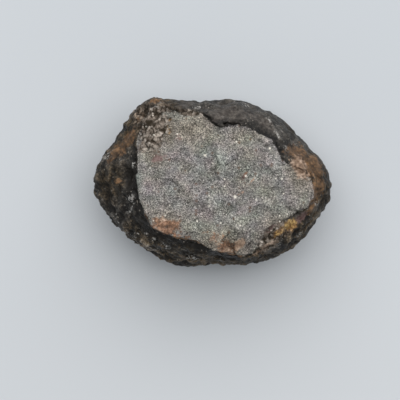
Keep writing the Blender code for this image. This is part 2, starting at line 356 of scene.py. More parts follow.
# %% Repeatable numbers and gradient noise
HASH_PRIMES = np.array([73856093, 19349663, 83492791], np.uint32)
HASH_ROUNDS = np.array([(2654435761, 15), (2246822519, 13)], np.uint32)
NOISE_REACH = 0.6


def hashed(cells, salt):
    """A repeatable number from 0 to 1 for each cell: its whole numbers times large primes, mixed in
    rounds that multiply by a large number and lay a shifted copy over the result."""
    x, y, z = np.moveaxis(cells.astype(np.int64).astype(np.uint32) * HASH_PRIMES, -1, 0)
    mixed = x ^ y ^ z ^ np.uint32(salt)
    for multiplier, shift in HASH_ROUNDS:
        mixed = mixed * multiplier
        mixed = mixed ^ (mixed >> shift)
    return mixed.astype(np.float64) / 2.0**32


def random_vector(cells, salt):
    """Three repeatable numbers from 0 to 1 for each cell."""
    return np.stack([hashed(cells, 3 * salt + k + 1) for k in range(3)], axis=-1)


def lump(points, size, salt):
    """Gradient noise: the slopes at a cell's eight corners, each times the way from it, faded
    together by 6t⁵ - 15t⁴ + 10t³."""
    scaled = points / size
    cell = np.floor(scaled)
    inside = scaled - cell
    fade = inside**3 * (inside * (inside * 6 - 15) + 10)
    total = np.zeros(len(points))
    for corner in itertools.product((0, 1), repeat=3):
        slope = random_vector(cell + corner, salt) * 2 - 1
        weight = np.prod(np.where(corner, fade, 1 - fade), axis=-1)
        total += weight * ((inside - corner) * slope).sum(axis=-1)
    return total


def lumps(points, sizes, salt):
    """The sum of noises of several (size across, height) pairs."""
    total = np.zeros(len(points))
    for step, (size, height) in enumerate(sizes):
        total += height / NOISE_REACH * lump(points, size, salt + step)
    return total


print("noise spreads by", lump(cube * 20, 3.0, 1).std().round(2))


# %% Packed cells
def packed(points, spacing, salt):
    """Distances to the nearest and second nearest of scattered seeds, and where the nearest one is."""
    scaled = points / spacing
    cell = np.floor(scaled)
    nearest = np.full(len(points), np.inf)
    second = np.full(len(points), np.inf)
    home = np.zeros_like(points)
    for step in itertools.product((-1, 0, 1), repeat=3):
        seed = cell + step + random_vector(cell + step, salt)
        distance = np.linalg.norm(scaled - seed, axis=-1)
        home = np.where((distance < nearest)[:, None], seed, home)
        second = np.minimum(second, np.maximum(nearest, distance))
        nearest = np.minimum(nearest, distance)
    return nearest * spacing, second * spacing, home * spacing


def smooth_step(value, low, high):
    """0 below low, 1 above high and the S-curve 3s² - 2s³ in between."""
    share = np.clip((value - low) / (high - low), 0, 1)
    return share * share * (3 - 2 * share)


def soft_excess(value, softness):
    """How far value is above 0, its corner rounded: softness times log(1 + e^(value / softness))."""
    return softness * np.logaddexp(0, value / softness)


print("seeds 9 mm apart are", packed(cube * 20, 9.0, 5)[0].mean().round(1), "mm away on average")

# %% [markdown]
# ## The stone's form
#
# The broken face is a level that bends down in five directions. The crust starts at the face's edge,
# in places with a raised lip, drops over a shoulder to the widest line round the stone, and curves
# under it like a pebble. How high the lip is, and how square the shoulder, changes with the bearing.
# Nearly all of these numbers are the solid's own, so that this surface lies where the solid lies.
# Only at the top right are the lip lower and a few points of the two lines further in.

# %% Sizes of the form
LENGTH = 67.4
WIDTH = 48.0
FACE_LEVEL = 30.6
STONE_MIDDLE = np.array([0.0, 0.0, RIM_LEVEL])
HALF_AXES = np.array([LENGTH / 2, WIDTH / 2, FACE_LEVEL - RIM_LEVEL])

# How far the widest line wavers up and down, waves round the stone, and where they peak
RIM_WAVES = [(1.3, 1, 149), (0.9, 2, -20), (0.5, 3, 21)]

# Bearing in degrees, height of the crust's lip over the face, and how square the crust's shoulder is
SHOULDER = [
    (0, 0, 1.5), (25, 0.3, 1.5), (45, 0.1, 2), (62, 0, 2.2), (70, 0.8, 2.4), (82, 1.1, 2.4),
    (95, 0.9, 2.2), (104, 0.1, 1.8), (128, 0, 1.5), (150, 0.1, 1.3), (180, 0, 1.15), (215, 0, 1.1),
    (250, 0, 1.2), (285, 0, 1.4), (320, 0.3, 1.5),
]
LIP_WIDTH = 0.7

# Where the broken face bends down: bearing in degrees, distance out, slope in degrees
FACE_BENDS = [(126, 17.5, 27), (278, 14.5, 22), (352, 20.0, 16), (186, 15.0, 9), (40, 14.0, 5)]
BEND_SOFTNESS = 1.5

BASE_SHARE = 0.62
BASE_SAG = 1.3
UNDERSIDE_SQUARENESS = 0.86


def direction(bearing, elevation=0.0):
    """The unit vector along a bearing and an elevation in degrees, from their sines and cosines."""
    turn, rise = math.radians(bearing), math.radians(elevation)
    level = math.cos(rise)
    return np.array([level * math.cos(turn), level * math.sin(turn), math.sin(rise)])


def rim_height(bearings):
    """The widest line's height: a level and three cosine waves round the stone."""
    height = np.full_like(bearings, RIM_LEVEL)
    for swing, waves, peak in RIM_WAVES:
        height += swing * np.cos(waves * (bearings - math.radians(peak)))
    return height


def face_height(x, y):
    """The broken face: a level, less a slope times the distance past each bend."""
    height = np.full_like(x, FACE_LEVEL)
    for bearing, start, slope in FACE_BENDS:
        out = direction(bearing)
        beyond = soft_excess(x * out[0] + y * out[1] - start, BEND_SOFTNESS)
        height -= math.tan(math.radians(slope)) * beyond
    return height


print("the rim's height at four sides:", rim_height(np.radians([0.0, 90.0, 180.0, 270.0])).round(1))


# %% The lattice wrapped round the form
def square_to_disc(u, v):
    """Bearing and distance out for points of a square: square rings become circles of the same size."""
    out = np.maximum(np.abs(u), np.abs(v))
    sideways = np.abs(u) >= np.abs(v)
    safe = np.where(out > 0, out, 1)
    first = np.where(u >= 0, 0, math.pi) + math.pi / 4 * np.where(u >= 0, v, -v) / safe
    other = np.where(v >= 0, 0.5, 1.5) * math.pi - math.pi / 4 * np.where(v >= 0, u, -u) / safe
    return np.where(sideways, first, other), out


def bare_form(cube):
    """The smooth stone. Above the rim the height falls from the lip as the root of 1 - over^squareness,
    and below it as a flattened ellipse of the share of the outline's radius."""
    bearings, out = square_to_disc(cube[:, 0], cube[:, 1])
    height_up_wall = cube[:, 2]
    reach = radius_at(bearings, OUTLINE)
    edge = radius_at(bearings, BREAK_EDGE) / reach
    degrees, lips, squares = np.array(SHOULDER, float).T
    lip = np.interp(np.degrees(bearings), degrees, lips, period=360)
    squareness = np.interp(np.degrees(bearings), degrees, squares, period=360)
    rim = rim_height(bearings)

    above = height_up_wall >= 0
    over = np.sin(math.pi / 2 * np.clip(1 - height_up_wall, 0, 1))
    under = np.clip(-height_up_wall, 0, 1) * math.acos(BASE_SHARE)
    share = out * np.where(above, edge + (1 - edge) * over, np.cos(under))
    x = share * reach * np.cos(bearings)
    y = share * reach * np.sin(bearings)

    past_edge = over * (1 - edge) * reach
    face_edge = face_height(edge * reach * np.cos(bearings), edge * reach * np.sin(bearings))
    lip_top = face_edge + lip * smooth_step(past_edge, 0, LIP_WIDTH)
    crust = rim + (lip_top - rim) * np.sqrt(1 - over**squareness)
    upper = np.where(height_up_wall < 1, crust, face_height(x, y))
    depth = np.clip(1 - share**2, 0, 1) ** (UNDERSIDE_SQUARENESS / 2)
    lower = rim - (rim + BASE_SAG) * depth
    return np.stack([x, y, np.where(above, upper, lower)], axis=-1)


smooth_stone = bare_form(cube)
print("smooth form, in mm:", np.ptp(smooth_stone, axis=0).round(1))

# %% [markdown]
# ## Facets and thumbprints
#
# A stone that broke up high in the air has flat sides with rounded edges between them. Each facet
# here is a cut by a slanted plane, softened so that its edge is round. The hot air then scooped
# shallow bowls out of the crust, all of about one size, with low ridges between them: that is the
# packed-cell pattern. The broken face has neither, only the gentle unevenness of broken stone.

# %% Cuts, bowls and hollows
# Facets are the bearing and elevation that they face and their depth, hollows a middle, radius and depth
FACETS = [
    (205, 38, 1.9), (262, 22, 1.2), (48, 30, 1.3), (330, 25, 1.1), (150, 28, 1),
    (20, -38, 2.6), (75, -42, 2.2), (128, -30, 2), (172, -46, 2.8), (228, -40, 2.4),
    (285, -44, 2.6), (330, -34, 2),
]
FACET_SOFTNESS = 0.45
THUMBPRINT_SPACING = 9.0
THUMBPRINT_DEPTH = 1.25
THUMBPRINT_FLANK = 0.6
THUMBPRINT_ROUNDNESS = 1.5
THUMBPRINT_SALT = 5
HOLLOWS = [
    (-24.6, 2, 4.2, 1.3), (-29, -2.6, 4.8, 0.7), (-25.6, 7.6, 3.6, 0.8), (-8.5, 21.6, 3, 0.6),
    (3.5, 19, 4.5, 0.5), (22.4, 9.6, 3.4, 0.8), (27, 5, 3, 0.4), (-11, -19.6, 4, 0.8),
    (-20.5, -14.2, 3.6, 0.6), (21.6, -14.6, 3.6, 0.9), (11.4, 18.2, 3, 0.5), (-0.2, -21.2, 2.6, 0.5),
]
HOLLOWS_REACH_BELOW_RIM = 2.0
REST_SPOT = np.array([0.5, -0.5])
REST_REACH = 9.0


def shaved(points):
    """The form cut by each facet: what reaches past a plane comes back to it, softly."""
    for bearing, elevation, depth in FACETS:
        facing = direction(bearing, elevation)
        reach = points @ facing
        beyond = soft_excess(reach - reach.max() + depth, FACET_SOFTNESS)
        points = points - beyond[:, None] * facing
    return points


def thumbprints(points):
    """Bowls side by side: -1 in the middle of each, and 0 on the ridge where two seeds are as near."""
    nearest, second, _ = packed(points, THUMBPRINT_SPACING, THUMBPRINT_SALT)
    from_ridge = np.clip((second - nearest) / THUMBPRINT_SPACING / THUMBPRINT_FLANK, 0, 1)
    return -(from_ridge**THUMBPRINT_ROUNDNESS)


def hollowed(points):
    """The depth of the single hollows of the upper side, each (1 - share²)² of its own depth."""
    depth = np.zeros(len(points))
    for x, y, radius, deep in HOLLOWS:
        share = np.hypot(points[:, 0] - x, points[:, 1] - y) / radius
        depth += deep * np.clip(1 - share**2, 0, 1) ** 2
    return np.where(points[:, 2] > RIM_LEVEL - HOLLOWS_REACH_BELOW_RIM, depth, 0)


faceted_stone = shaved(smooth_stone)
print("facets take off at most", np.abs(faceted_stone - smooth_stone).max().round(1), "mm")

# %% Relief of the crust and of the broken face
CRUST_LUMPS = [(17.0, 1.0), (7.5, 0.75), (3.8, 0.34)]
CRUST_SALT = 11
BROKEN_LUMPS = [(9.0, 0.6), (4.4, 0.42)]
BROKEN_SALT = 31
WEATHERED_CORNER = np.array([-17.5, 15.5])
WEATHERED_REACH = 9.0
WEATHERED_ROUGHNESS = 0.9
EDGE_BLEND = 0.6


def inside_break(points):
    """How far a point is inside the break's edge: the edge's radius less its own distance out."""
    inside = radius_at(bearing_of(points), BREAK_EDGE) - np.hypot(points[:, 0], points[:, 1])
    return np.where(points[:, 2] > RIM_LEVEL, inside, -LENGTH)


def crust_relief(points):
    """Bowls, lumps and single hollows of the crust, which fade out towards the flat resting spot."""
    relief = THUMBPRINT_DEPTH * thumbprints(points) + lumps(points, CRUST_LUMPS, CRUST_SALT)
    from_rest = np.hypot(*(points[:, :2] - REST_SPOT).T) + np.maximum(points[:, 2], 0)
    return (relief - hollowed(points)) * smooth_step(from_rest, REST_REACH / 2, REST_REACH)


def broken_relief(points):
    """Gentle lumps, stronger towards the weathered corner."""
    corner = np.hypot(*(points[:, :2] - WEATHERED_CORNER).T)
    weathered = 1 - smooth_step(corner, 0, WEATHERED_REACH)
    return lumps(points, BROKEN_LUMPS, BROKEN_SALT) * (1 + WEATHERED_ROUGHNESS * weathered)


broken_share = smooth_step(inside_break(faceted_stone), -EDGE_BLEND, EDGE_BLEND)
relief = broken_share * broken_relief(faceted_stone)
relief += (1 - broken_share) * crust_relief(faceted_stone)
print("relief runs from", relief.min().round(2), "to", relief.max().round(2), "mm")

# %% [markdown]
# ## Back to the outline, and down onto the table
#
# Facets and relief have nibbled at the outline, so the widest point at each bearing is moved back
# out to it. The underside is then cut off level where it would go below the table: that is the small
# flat spot that the stone rests on.

# %% The rough stone
OUTLINE_SECTORS = 90


def outward(points):
    """The direction away from the middle on an ellipsoid: the offset over each half axis squared."""
    away = (points - STONE_MIDDLE) / HALF_AXES**2
    return away / np.linalg.norm(away, axis=-1, keepdims=True)


def held_to_outline(points):
    """Stretches each bearing so that its widest point is on the outline, less so further in."""
    bearings = bearing_of(points)
    share = np.hypot(points[:, 0], points[:, 1]) / radius_at(bearings, OUTLINE)
    turns = bearings / (2 * math.pi) * OUTLINE_SECTORS
    widest = np.zeros(OUTLINE_SECTORS)
    np.maximum.at(widest, np.round(turns).astype(int) % OUTLINE_SECTORS, share)
    stretch = np.interp(turns, np.arange(OUTLINE_SECTORS), 1 / widest, period=OUTLINE_SECTORS)
    spread = 1 + (stretch - 1) * np.clip(share, 0, 1) ** 3
    return points * np.stack([spread, spread, np.ones_like(spread)], axis=-1)


def centred(points):
    """The surface standing on the table, with the middle of its box over the origin."""
    points = points.copy()
    points[:, 2] = np.maximum(points[:, 2], 0)
    middle = (points.min(axis=0) + points.max(axis=0)) / 2
    return points - [middle[0], middle[1], 0]


rough_stone = centred(held_to_outline(faceted_stone + relief[:, None] * outward(faceted_stone)))
print("rough stone, in mm:", np.ptp(rough_stone, axis=0).round(1))

# %% [markdown]
# ## Fine relief
#
# From here on the surface gets what the solid leaves out. Fine relief is pushed along the surface's
# own normals, so that it stands straight up from flanks and face alike. A normal at a point is the
# sum of the normals of the faces round it, and np.bincount adds them up for all points at once.


# %% Normals of the rough stone
def vertex_normals(points, faces):
    """Unit normals: the cross product of each face's diagonals, summed at its four corners."""
    a, b, c, d = (points[faces[:, k]] for k in range(4))
    across = np.cross(c - a, d - b)
    total = np.zeros_like(points)
    for axis in range(3):
        weights = np.repeat(across[:, axis], 4)
        total[:, axis] = np.bincount(faces.ravel(), weights, len(points))
    return total / np.maximum(np.linalg.norm(total, axis=-1, keepdims=True), 1e-12)


normals = vertex_normals(rough_stone, faces)
print("share of normals that face up:", (normals[:, 2] > 0.9).mean().round(2))

# %% [markdown]
# ## Where the stone differs from place to place
#
# Weather has worked on some parts of the stone more than on others. Each such place is an oval patch:
# a middle, two half widths, a turn and a strength. The same ovals drive relief and colour there, so
# that a rugged place is rugged in both.

# %% Oval patches
OVALS_REACH_BELOW_RIM = 4
RUGGED = [
    (-16.8, 15.2, 7.6, 4.4, 78, 1), (-20.4, 18.8, 4, 3.4, 50, 0.7), (17.8, -14.6, 6.6, 2.6, 36, 0.95),
    (24.8, 3.4, 4.6, 2, 125, 0.7), (2.4, -18.4, 4, 1.2, -12, 0.35), (-14.2, 20.6, 3.2, 2.2, 0, 0.8),
    (14.4, -18.4, 3.2, 1.3, 34, 0.85), (24.4, -10, 3.4, 1.3, 45, 0.9), (-6.6, 19.3, 4.6, 1.2, -4, 0.75),
]


def oval(points, x, y, half_long, half_wide, turn):
    """u² + v² from the middle of an oval on the upper side, with u and v in its half widths."""
    offset = points[:, :2] - (x, y)
    u = offset @ direction(turn)[:2] / half_long
    v = offset @ direction(turn + 90)[:2] / half_wide
    return np.where(points[:, 2] > RIM_LEVEL - OVALS_REACH_BELOW_RIM, u**2 + v**2, np.inf)


def patches(points, ovals):
    """The strongest of several soft patches, each its strength times e^-(u² + v²)."""
    return np.max([strength * np.exp(-oval(points, *form)) for *form, strength in ovals], axis=0)


inside = inside_break(rough_stone)
rugged = patches(rough_stone, RUGGED)
print("share of the stone that is rugged:", (rugged > 0.5).mean().round(3))

# %% [markdown]
# ## The relief of the broken face
#
# Broken stone isn't a smooth sheet. The crack ran in small tilted steps, so the face is made of
# packed chips, each a plane with its own slight slope. It also ran round the grains: some round
# beads stand out, and others have dropped out and left sockets. Fine lumps cover all of it.

# %% Chips, beads and sockets
CHIP_SPACING = 5.5
CHIP_SLOPE = 0.1
CHIP_SALT = 45
BEAD_SPACING = 1.7
BEAD_RADIUS = 0.62
BEAD_HEIGHT = 0.13
BEAD_SHARE = 0.6
SOCKET_DEPTH = 0.28
SOCKET_SHARE = 0.16
BEAD_SALT = 51
FACE_LUMPS = [(2.1, 0.09), (1.0, 0.1)]
FACE_SALT = 41


def chips(points, spacing, steepest, salt):
    """Tilted planes: the offset from the nearest seed times that seed's own small slope."""
    _, _, home = packed(points, spacing, salt)
    slope = (random_vector(np.floor(home / spacing), salt + 1) * 2 - 1) * steepest
    return ((points - home) * slope).sum(axis=-1)


def beads(points):
    """Domes of height 1 - share² over some seeds, and dishes of the same form in a few others."""
    nearest, _, home = packed(points, BEAD_SPACING, BEAD_SALT)
    number = hashed(np.floor(home / BEAD_SPACING), BEAD_SALT + 1)
    dome = np.clip(1 - (nearest / BEAD_RADIUS) ** 2, 0, 1)
    height = np.where(number < SOCKET_SHARE, -SOCKET_DEPTH, BEAD_HEIGHT)
    return dome * np.where(number < BEAD_SHARE, height, 0)


face_detail = lumps(rough_stone, FACE_LUMPS, FACE_SALT) + beads(rough_stone)
face_detail += chips(rough_stone, CHIP_SPACING, CHIP_SLOPE, CHIP_SALT)
print("face detail spreads by", face_detail[inside > 0].std().round(2), "mm")

# %% [markdown]
# Two more things cut into the stone. Thin cracks run across the face; each follows a few points, bent
# a little by noise. And in the rugged places the soft matrix has crumbled out from between harder
# nodules, which leaves a cobbled surface with gaps.

# %% Cracks and cobbles
# The points that each crack follows, its half width and its depth
CRACKS = [
    ([(5.6, -10.2), (7.2, -12.4), (8.6, -14.4), (8.9, -16.4), (9.7, -18.8)], 0.5, 0.5),
    ([(20.4, -5.4), (21, -6.8), (22, -8), (24.6, -8.6)], 0.5, 0.7),
    ([(12.6, 14.2), (13.4, 12.4), (12.9, 11)], 0.35, 0.3),
    ([(8, 10.5), (9.6, 6), (12.4, 2.4), (13, -1.5)], 0.35, 0.18),
]
LINE_WANDER = 0.5
LINE_WANDER_SIZE = 1.3
LINE_SALT = 71
COBBLE_SPACING = 1.7
COBBLE_HEIGHT = 1.1
COBBLE_TOP = 0.25
COBBLE_REACH = 0.9
COBBLE_SALT = 61


def along_lines(points, lines):
    """The strongest of several bent lines, each its height times 1 - distance / half width."""
    wander = np.stack([lump(points, LINE_WANDER_SIZE, LINE_SALT + k) for k in range(2)], axis=-1)
    flat = points[:, :2] + LINE_WANDER * wander
    height = np.zeros(len(points))
    for route, half_width, high in lines:
        for start, end in itertools.pairwise(np.array(route)):
            along = end - start
            share = np.clip((flat - start) @ along / (along @ along), 0, 1)
            away = np.linalg.norm(flat - start - share[:, None] * along, axis=-1)
            height = np.maximum(height, high * np.clip(1 - away / half_width, 0, 1))
    return np.where(points[:, 2] > RIM_LEVEL, height, 0)


def cobbles(points):
    """Nodules with gaps between them: a level less the squared distance to the nearest seed."""
    nearest, _, _ = packed(points, COBBLE_SPACING, COBBLE_SALT)
    return COBBLE_HEIGHT * (COBBLE_TOP - np.minimum(nearest / COBBLE_SPACING, COBBLE_REACH) ** 2)


face_detail = face_detail - along_lines(rough_stone, CRACKS) + rugged * cobbles(rough_stone)
print("cobbles and cracks reach down to", face_detail[inside > 0].min().round(2), "mm")

# %% [markdown]
# ## The relief of the crust
#
# The crust is a skin of frozen melt, dull and finely wrinkled, with small blisters. Shrinkage cracks
# divide it into plates, which have warped and tilted a little, and thin ridges of crust stand up
# where a flake has come off beside them. It is smoothest at the top right and roughest along the
# bottom. Where the stone broke, a lip of crust stands over the face, and here and there a pocket is
# left under it. On the lower left the crust starts a step below the face, on the lower right crumbs
# are banked up against it, and at the top right it dips beside the edge.

# %% Wrinkles, plates and tilted clods
CRUST_FINE_LUMPS = [(3.4, 0.3), (1.9, 0.22), (1.1, 0.16)]
CRUST_FINE_SALT = 81
WRINKLE_SIZE = 2.6
WRINKLE_HEIGHT = 0.2
WRINKLE_TOP = 0.5
WRINKLE_STEEPNESS = 0.3
WRINKLE_SALT = 86
PLATE_SPACING = 6.5
PLATE_GAP = 0.4
PLATE_GAP_DEPTH = 0.2
PLATE_SALT = 95
TILTED_SPACING = 3.1
TILTED_SLOPE = 0.11
TILTED_SALT = 121
TILTED_BEND = 0.9
TILTED_BEND_SIZE = 2.0
TILTED_BEND_SALT = 126


def crust_plates(points):
    """Thin grooves where two of the scattered seeds are nearly as near."""
    nearest, second, _ = packed(points, PLATE_SPACING, PLATE_SALT)
    return -PLATE_GAP_DEPTH * np.clip(1 - (second - nearest) / PLATE_GAP, 0, 1)


def wrinkles(points):
    """Creases: a level less the size of a noise, so that its zero lines become ridges."""
    size = np.abs(lump(points, WRINKLE_SIZE, WRINKLE_SALT))
    return WRINKLE_HEIGHT * (WRINKLE_TOP - size / WRINKLE_STEEPNESS)


def tilted_clods(points):
    """Tilted planes as on the face, at points shifted by three noises so that their edges are bent."""
    shift = [lump(points, TILTED_BEND_SIZE, TILTED_BEND_SALT + k) for k in range(3)]
    shifted = points + TILTED_BEND * np.stack(shift, axis=-1)
    return chips(shifted, TILTED_SPACING, TILTED_SLOPE, TILTED_SALT)


crust_detail = lumps(rough_stone, CRUST_FINE_LUMPS, CRUST_FINE_SALT) + wrinkles(rough_stone)
crust_detail += crust_plates(rough_stone)
crust_detail += tilted_clods(rough_stone)
print("crust detail spreads by", crust_detail[inside < 0].std().round(2), "mm")

# %% Ridges, pockets and what lies along the break
RIDGES = [
    ([(13.8, 16.9), (14.9, 17.8), (16.2, 17), (16.9, 15.4), (18, 13.2), (19.6, 11.2)], 0.5, 0.5),
    ([(1.6, 17.6), (3.6, 18.2), (5.6, 17.6)], 0.45, 0.3),
    ([(-28.6, -9), (-25.6, -13), (-20, -17), (-14.6, -20.2)], 0.6, 0.3),
    ([(16.8, -17.4), (19.8, -15.8), (22.4, -13.6)], 0.45, 0.3),
    ([(27.4, -4), (28.6, -1), (28.4, 2), (26.6, 4.6)], 0.5, 0.3),
]
POCKETS = [
    (5.3, 16.1, 2.7, 0.75, -4, 1.8), (-0.8, 17.8, 2, 0.5, -25, 0.8), (18.9, 9.2, 2.4, 0.8, -62, 1.2),
    (-18.8, 19.4, 1.6, 1, 70, 0.9), (-15.4, 13.4, 1.1, 0.8, 20, 0.9),
    (15.8, -13.2, 2.2, 0.7, 30, 0.8), (10.4, -17.6, 1.4, 0.6, 60, 0.8), (20.4, -15.4, 1.8, 0.7, 40, 0.7),
    (-25.2, 15, 1.5, 0.9, 50, 0.7), (26.6, -9.6, 1.6, 0.7, 50, 0.5),
]
CRUST_COBBLES = 0.7
# Sides of the stone are bearings from and to, in degrees
SMOOTHER, SMOOTH_SIDE = 0.6, (25, 110)
ROUGHER, ROUGH_SIDE = 0.3, (205, 325)
STEP_DEPTH, STEP_OUT, STEP_SIDE = 0.75, 1.0, (185, 280)
BANK_HEIGHT, BANK_OUT, BANK_SIDE = 0.6, 1.1, (318, 334)
DIP_DEPTH, DIP_OUT, DIP_SIDE = 0.4, 1.0, (42, 58)
SIDE_FADE = 20


def pockets(points):
    """Steep oval pits, the deepest of those at each point: its depth times 1 - (u² + v²)."""
    depths = [deep * np.clip(1 - oval(points, *form), 0, 1) for *form, deep in POCKETS]
    return np.max(depths, axis=0)


def on_side(points, side):
    """1 between a side's two bearings, falling to 0 along an S-curve past either of them."""
    turn = np.degrees(bearing_of(points)) % 360
    start, end = side
    return smooth_step(turn, start - SIDE_FADE, start) * (1 - smooth_step(turn, end, end + SIDE_FADE))


def beside_break(points, strip, side):
    """e^-d² along the outside of the break, on one side, with d from a line one strip out."""
    from_line = (inside_break(points) + strip) / strip
    return np.exp(-(from_line**2)) * on_side(points, side)


smoother = SMOOTHER * on_side(rough_stone, SMOOTH_SIDE)
crust_detail *= 1 - smoother + ROUGHER * on_side(rough_stone, ROUGH_SIDE)
crust_detail += CRUST_COBBLES * rugged * cobbles(rough_stone) + along_lines(rough_stone, RIDGES)
step = beside_break(rough_stone, STEP_OUT, STEP_SIDE)
bank = beside_break(rough_stone, BANK_OUT, BANK_SIDE)
crust_detail += BANK_HEIGHT * bank - STEP_DEPTH * step
crust_detail -= DIP_DEPTH * beside_break(rough_stone, DIP_OUT, DIP_SIDE)
print("with ridges, step, bank and dip it spreads by", crust_detail[inside < 0].std().round(2), "mm")

# %% [markdown]
# The two reliefs meet in a narrow band along the break's edge, and the pockets cut through both. The
# flat resting spot stays flat.

# %% The finished surface
FINE_EDGE_BLEND = 0.35
FLAT_TO = 0.5

broken_share = smooth_step(inside, -FINE_EDGE_BLEND, FINE_EDGE_BLEND)
detail = broken_share * face_detail + (1 - broken_share) * crust_detail - pockets(rough_stone)
detail *= smooth_step(rough_stone[:, 2], 0, FLAT_TO)
stone_points = rough_stone + detail[:, None] * normals
stone_points[:, 2] = np.maximum(stone_points[:, 2], 0)
print("finished stone, in mm:", np.ptp(stone_points, axis=0).round(2))

# %% [markdown]
# ## Where the stains are
#
# Rust has bled out of the metal grains, and each stain has its own tint: orange brown on the crust
# and along the break's lower rim, salmon, pink and buff on the grey face, yellow ochre at its lower
# right. Long weathering has also turned much of the black crust brown, dust has settled on its top,
# and it is chipped pale here and there, the chips partly painted highlights. In the hollow left of
# the face, along the step at its lower left, under the top lip and in the notch at the top right,
# the crust is painted near black and glossier as shade. In the warm places the grey is only tinted
# tan. The sides and the underside, which the photograph doesn't show, get their stains from a large
# noise.

# %% Ovals of rust, brown, painted shade and pale chips with painted highlights
OVALS = {}
OVALS["rust"] = [
    (-23.6, 12, 3.4, 1.7, 55, 1), (-26.4, 9.2, 3.8, 2, 42, 1), (-29, 6.2, 2, 1.3, 50, 0.6),
    (-26.6, 0.1, 1.3, 0.8, 20, 0.8), (23.6, 8.2, 3.6, 2.6, 150, 1), (28, 4.4, 4.4, 3, 125, 1),
    (30, -0.8, 4.4, 1.9, 92, 0.8), (27.8, -7, 3.6, 1.4, 60, 0.8), (-16.4, 23, 2.2, 1, 0, 0.8),
    (-20.8, 17.2, 3.4, 1.6, 55, 0.5), (28.8, -2, 4.6, 1, 97, 0.9), (22.8, -12.8, 3.6, 2, 45, 0.5),
    (18.4, -14.2, 3.4, 1.2, 40, 0.7),
]
OVALS["brown"] = [
    (-24, 14, 9, 5, 50, 1), (-29, 0, 8, 6, 80, 0.8), (28.5, 0, 9, 5, 105, 1), (24, -13, 9, 5, 45, 1),
    (0, -21, 26, 6, 0, 1), (-17, -17, 12, 6, -35, 0.8), (6, 20, 7, 3, -5, 0.5), (-12, 22, 7, 3, 0, 0.8),
]
# Painted shade: near-black, glossier crust under the top lip, in the notch at the top right, and in the
# hollow and along the edge at the lower left
OVALS["glass"] = [
    (-22.9, -0.6, 7.6, 1.9, 92, 1), (-19.6, -12.6, 6, 1.6, 128, 0.7), (5.2, 16.5, 3.6, 1, -6, 1),
    (19.3, 9.3, 2.4, 1, -62, 0.9),
]
# Pale chips on raised bits of crust, partly painted highlights
OVALS["chipped"] = [
    (-23.2, -6.2, 2.8, 1.3, 80, 0.9), (-21.4, -14.6, 0.8, 0.6, 0, 0.8), (-18.8, -14.7, 0.7, 0.6, 0, 0.7),
    (-16.4, -16.3, 0.9, 0.6, -30, 0.8), (-13.2, -18, 1.4, 0.8, -30, 0.8), (-5.8, -21.4, 1.7, 0.8, 5, 1),
    (9.2, 21.7, 1.2, 0.5, -15, 1), (2.6, 18.1, 1.1, 0.4, 0, 0.7), (-22.2, 4.9, 0.7, 1.2, 0, 0.8),
    (-29.8, 7.2, 1.6, 1.2, 40, 0.5), (-14.8, 21.4, 1, 1.6, 10, 0.6), (-4, 20.8, 2.4, 0.7, -10, 0.6),
    (28.9, -6, 1, 1, 0, 0.6), (19.4, -17.4, 2, 0.8, 35, 0.5), (12.8, -20.6, 2, 0.7, 20, 0.4),
    (20.4, 9.6, 1, 0.6, 40, 0.6), (6, 22.4, 2.6, 0.5, 0, 0.4), (24.2, -14.8, 1.6, 0.8, 40, 0.4),
    (16.4, -17.8, 3.4, 1, 30, 0.8), (-27, -9.6, 1.4, 0.8, -40, 0.5), (1.6, -22, 3, 0.6, 0, 0.5),
]
print({name: len(ovals) for name, ovals in OVALS.items()}, "ovals on the crust")

# %% Ovals of stains on the face and along its edge
OVALS["dusty"] = [
    (5.4, 18.8, 8.4, 2.8, -4, 1), (14.4, 16.4, 4.4, 2, -42, 0.9), (-8, 21.6, 4.4, 1.4, 0, 0.7),
    (22.8, -10, 4.6, 0.9, 30, 0.9),
]
OVALS["salmon"] = [
    (-12.8, -12.2, 4.6, 2.2, -8, 1), (-15.4, -10.8, 2.2, 1, -20, 0.9), (-12.8, -13.8, 3.6, 0.8, -20, 1),
    (4.4, -18.2, 3.5, 1.7, -8, 1.05), (0.6, -15.4, 3.6, 2.6, -20, 0.58), (-7.4, -15.4, 2.4, 0.5, -10, 0.6),
    (24.6, 4, 2, 3.4, 25, 0.8), (9.2, 2.2, 1.6, 0.7, 60, 0.75), (11, 0.4, 1.8, 0.5, 50, 0.65),
    (-16.6, 4.6, 3, 1.2, 10, 0.4), (7.4, -3.4, 1.8, 1, 20, 0.55),
]
OVALS["pink"] = [
    (-15.2, 6.6, 2.4, 1.5, 10, 0.8), (-9.4, 12.4, 2.4, 2, 0, 0.5), (8.6, 1.6, 1.7, 0.9, 60, 0.5),
    (24.4, -10.4, 2.8, 1, 45, 1), (16, -13, 2.6, 0.9, 36, 0.5),
]
OVALS["buff"] = [
    (24.2, 4.4, 3.6, 2, 115, 1.1), (4.5, -18.9, 1.5, 0.9, 0, 1), (21.6, -13.4, 1.2, 0.6, 20, 0.8),
    (7.4, -17.6, 2.2, 1.5, 60, 0.95), (-13.4, -10.6, 3, 0.9, -4, 0.6), (15.4, -17.6, 3, 0.6, 30, 0.8),
    (12.4, -19.8, 1.8, 0.6, 30, 0.7),
]
OVALS["ochre"] = [
    (21.8, -12, 2.4, 1.7, 25, 1), (18.2, -14.4, 2, 0.9, 40, 0.5), (-12.4, 15.2, 1.2, 3.4, 10, 0.4),
]
OVALS["warm"] = [
    (-12, 14.6, 5.2, 2.4, 85, 1), (-4.6, 17.6, 6, 2.4, 0, 0.7), (8.4, 13.4, 4, 2.6, 0, 0.5),
    (3.5, -17.6, 9, 3.6, -12, 1), (-13, -10.6, 6.6, 3.4, -6, 0.7), (24.6, 1.6, 3.6, 5.2, 25, 0.9),
    (-7, 15, 8, 4.4, 0, 0.9), (8.4, 0.6, 4, 2.4, 80, 0.5), (-16.2, 7.6, 3.6, 4, 0, 0.8),
    (16.8, -12.4, 6, 3.6, 36, 0.7),
]
print(sum(map(len, OVALS.values())), "ovals in all")
